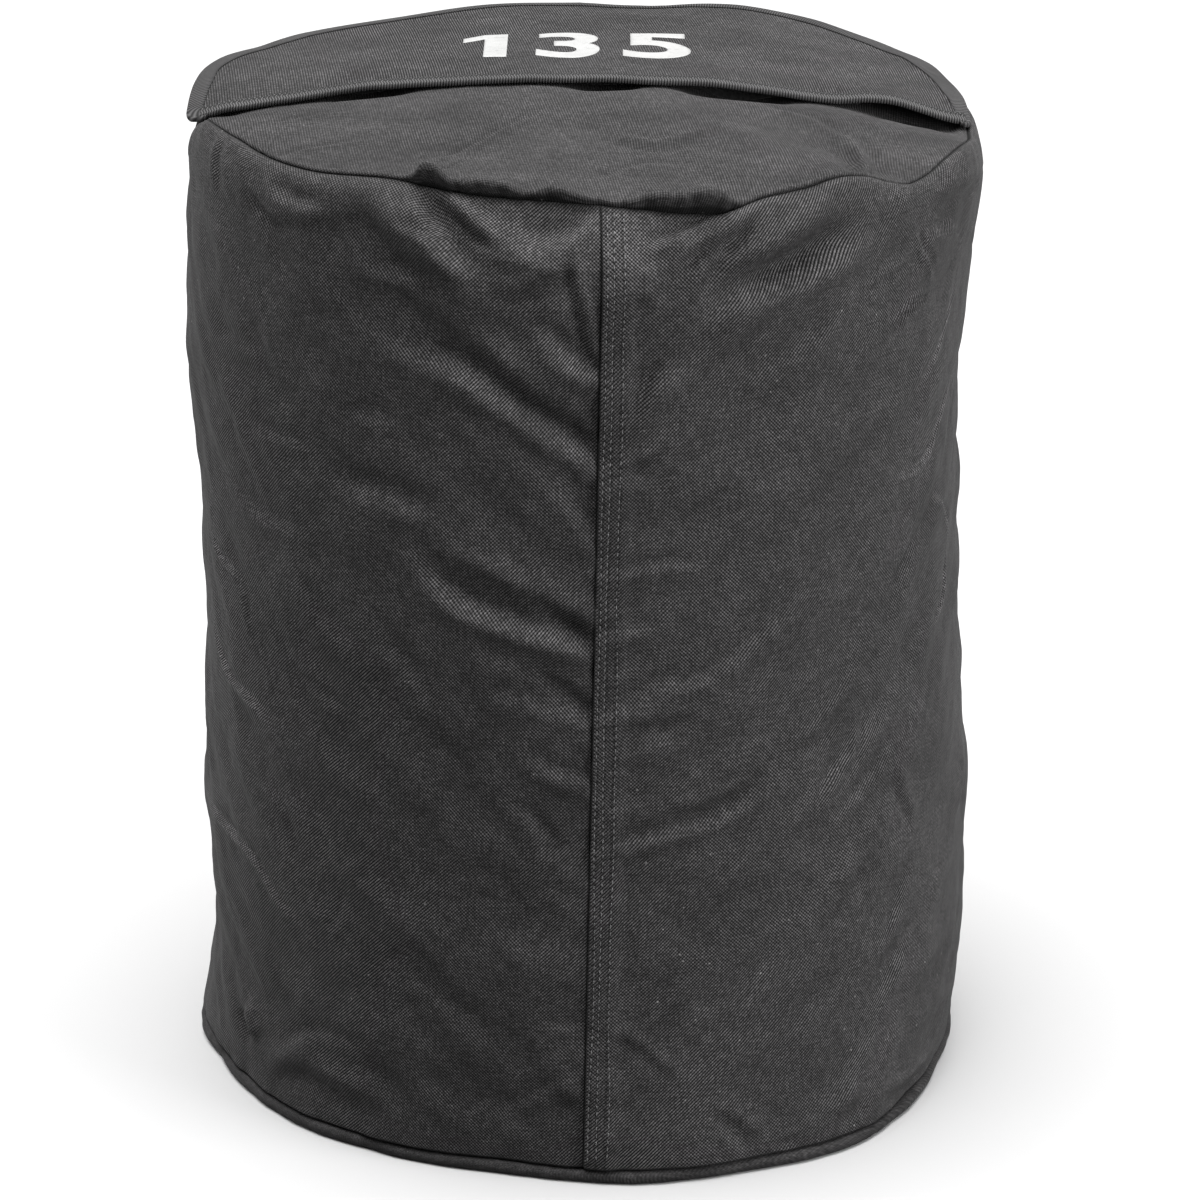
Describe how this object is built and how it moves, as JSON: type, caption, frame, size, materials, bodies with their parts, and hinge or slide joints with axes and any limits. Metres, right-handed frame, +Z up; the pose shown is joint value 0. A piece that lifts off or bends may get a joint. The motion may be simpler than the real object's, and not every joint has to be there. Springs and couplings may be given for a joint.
{
  "type": "sandbag trainer",
  "caption": "Free-standing cylindrical cloth training bag filled with sand, with a lapped front seam, a rolled base and a half-round flap over its filling mouth.",
  "frame": {"origin": "middle of the base, on the surface that the bag stands on", "axes": "+Z up along the bag's axis, the lapped front seam faces -Y, and the flap opens towards +Y"},
  "size_m": [0.4599, 0.4535, 0.5901],
  "materials": {
    "body_cloth": "matt coarse woven polyamide, charcoal",
    "top_cloth": "matt woven polyamide, warm dark grey",
    "tape": "matt twill binding tape, dark grey",
    "herringbone_tape": "herringbone binding tape, mid grey",
    "hook_and_loop": "black hook and loop strip",
    "liner_cloth": "smooth closely woven inner cloth, slate",
    "sand": "dry loose sand"
  },
  "bodies": {
    "bag": {"wall_panel": "body_cloth", "base_panel": "body_cloth", "top_panel": "top_cloth", "top_seam_tape": "tape", "base_seam_tape": "tape", "mouth_tape": "tape", "loop_strip": "hook_and_loop", "liner_bag": "liner_cloth", "liner_neck": "liner_cloth", "neck_closing_tape": "hook_and_loop", "sand_fill": "sand", "flap_root": "top_cloth", "flap_root_tape": "tape"},
    "flap": {"flap_panel": "top_cloth", "flap_arc_tape_right": "tape", "flap_arc_tape_left": "tape", "flap_front_tape": "herringbone_tape", "hook_strip": "hook_and_loop"}
  },
  "joints": [
    {"name": "flap_hinge", "type": "hinge", "parent": "bag", "child": "flap", "pos_m": [0, 0.205, 0.58367], "axis": [-1, 0, 0], "range_deg": [0, 180]}
  ]
}
